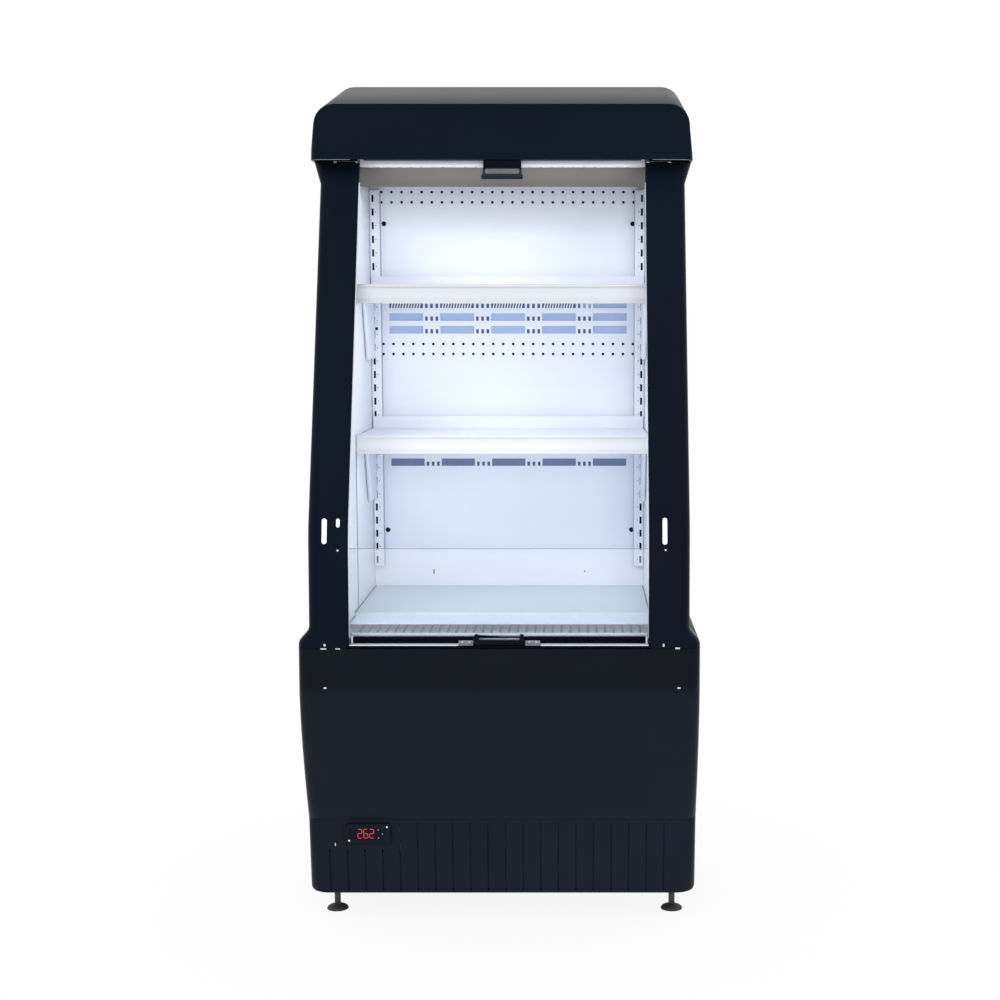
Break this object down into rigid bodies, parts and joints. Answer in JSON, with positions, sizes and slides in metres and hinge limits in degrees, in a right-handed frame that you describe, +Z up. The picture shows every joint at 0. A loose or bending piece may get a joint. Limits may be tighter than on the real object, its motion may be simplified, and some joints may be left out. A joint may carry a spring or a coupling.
{
  "type": "open display refrigerator",
  "caption": "Open-front upright display cooler with shelves, perforated air-duct back, low front glass, pull-down night blind and a condensing unit in the base.",
  "frame": {"origin": "on the floor under the middle of the footprint", "axes": "+Z up; the open front faces -Y; +X is the viewer's right"},
  "size_m": [0.68, 0.6, 1.5],
  "materials": {
    "black_moulding": "smooth black moulding, soft sheen",
    "black_trim": "satin black",
    "foamed_skin": "dark painted skin over foam",
    "liner": "smooth white liner",
    "white_sheet": "white powder coat",
    "white_plastic": "white extrusion",
    "satin_steel": "satin",
    "zinc_sheet": "zinc coated",
    "coil_fins": "fins",
    "painted_steel": "satin black paint",
    "copper": "drawn tube",
    "dark_plastic": "moulded",
    "foot_rubber": "matte",
    "button_rubber": "matte",
    "clear_glass": "clear, polished edge",
    "blind_cloth": "woven, silvered"
  },
  "bodies": {
    "cabinet": {"back_wall": "foamed_skin", "base_frame": "painted_steel", "base_front_panel": "black_moulding", "base_side_left": "black_moulding", "base_side_right": "black_moulding", "blind_bracket_left": "zinc_sheet", "blind_bracket_right": "zinc_sheet", "blind_catch": "black_trim", "blind_fabric": "blind_cloth", "canopy_shell": "black_moulding", "ceiling_panel": "satin_steel", "compressor": "painted_steel", "condenser_coil": "coil_fins", "condenser_fan_shroud": "painted_steel", "controller_housing": "black_trim", "deck_pan": "white_sheet", "discharge_grille": "white_plastic", "drain_pan": "dark_plastic", "electrical_box": "zinc_sheet", "evaporator_coil": "coil_fins", "evaporator_fan_deck": "zinc_sheet", "floor_insulation": "liner", "glass_riser": "clear_glass", "led_lamp": "white_plastic", "liquid_line": "copper", "louvre_grille": "black_moulding", "pillar_left": "black_moulding", "pillar_right": "black_moulding", "price_rail_lower": "white_plastic", "price_rail_upper": "white_plastic", "rear_duct_panel": "white_sheet", "rear_grille": "painted_steel", "return_air_grille": "white_sheet", "roof_insulation": "liner", "shelf_bracket_lower_left": "white_sheet", "shelf_bracket_lower_right": "white_sheet", "shelf_bracket_upper_left": "white_sheet", "shelf_bracket_upper_right": "white_sheet", "shelf_plate_lower": "white_sheet", "shelf_plate_upper": "white_sheet", "shelf_standard_left": "white_sheet", "shelf_standard_right": "white_sheet", "side_liner_left": "liner", "side_liner_right": "liner", "side_wall_left": "foamed_skin", "side_wall_right": "foamed_skin", "sill_rail": "black_trim"},
    "night_blind": {"blind_bar": "black_trim", "blind_handle": "black_trim"},
    "blind_roller": {"blind_roller": "blind_cloth"},
    "evaporator_fan": {"evaporator_fan": "dark_plastic"},
    "condenser_fan": {"condenser_fan": "dark_plastic"},
    "foot_front_left": {"levelling_foot_front_left": "foot_rubber"},
    "foot_front_right": {"levelling_foot_front_right": "foot_rubber"},
    "foot_rear_left": {"levelling_foot_rear_left": "foot_rubber"},
    "foot_rear_right": {"levelling_foot_rear_right": "foot_rubber"},
    "button_up": {"controller_button_up": "button_rubber"},
    "button_set": {"controller_button_set": "button_rubber"},
    "button_down": {"controller_button_down": "button_rubber"}
  },
  "joints": [
    {"name": "blind_pull", "type": "slide", "parent": "cabinet", "child": "night_blind", "axis": [0, -0.2498, -0.9683], "range_m": [0, 0.8125], "stiffness_N_per_m": 20, "springref_m": -0.4, "deforming": ["blind_fabric"]},
    {"name": "blind_wind", "type": "hinge", "parent": "cabinet", "child": "blind_roller", "pos_m": [0, -0.03291, 1.38601], "axis": [1, 0, 0], "range_deg": [0, 2125]},
    {"name": "evaporator_fan_spin", "type": "hinge", "parent": "cabinet", "child": "evaporator_fan", "pos_m": [0, 0.2, 0.57], "axis": [0, 0, 1], "continuous": true},
    {"name": "condenser_fan_spin", "type": "hinge", "parent": "cabinet", "child": "condenser_fan", "pos_m": [0.05, -0.09, 0.18615], "axis": [0, 1, 0], "continuous": true},
    {"name": "foot_turn_front_left", "type": "hinge", "parent": "cabinet", "child": "foot_front_left", "pos_m": [-0.303, -0.13, 0.03], "axis": [0, 0, 1], "continuous": true},
    {"name": "foot_turn_front_right", "type": "hinge", "parent": "cabinet", "child": "foot_front_right", "pos_m": [0.303, -0.13, 0.03], "axis": [0, 0, 1], "continuous": true},
    {"name": "foot_turn_rear_left", "type": "hinge", "parent": "cabinet", "child": "foot_rear_left", "pos_m": [-0.303, 0.245, 0.03], "axis": [0, 0, 1], "continuous": true},
    {"name": "foot_turn_rear_right", "type": "hinge", "parent": "cabinet", "child": "foot_rear_right", "pos_m": [0.303, 0.245, 0.03], "axis": [0, 0, 1], "continuous": true},
    {"name": "press_up", "type": "slide", "parent": "cabinet", "child": "button_up", "axis": [0, 0.994, 0.1097], "range_m": [0, 0.0008], "stiffness_N_per_m": 400, "springref_m": -0.0005},
    {"name": "press_set", "type": "slide", "parent": "cabinet", "child": "button_set", "axis": [0, 0.994, 0.1097], "range_m": [0, 0.0008], "stiffness_N_per_m": 400, "springref_m": -0.0005},
    {"name": "press_down", "type": "slide", "parent": "cabinet", "child": "button_down", "axis": [0, 0.994, 0.1097], "range_m": [0, 0.0008], "stiffness_N_per_m": 400, "springref_m": -0.0005}
  ],
  "couplings": [
    {"joint": "blind_wind", "follows": "blind_pull", "rad_per_m": 45.455}
  ]
}
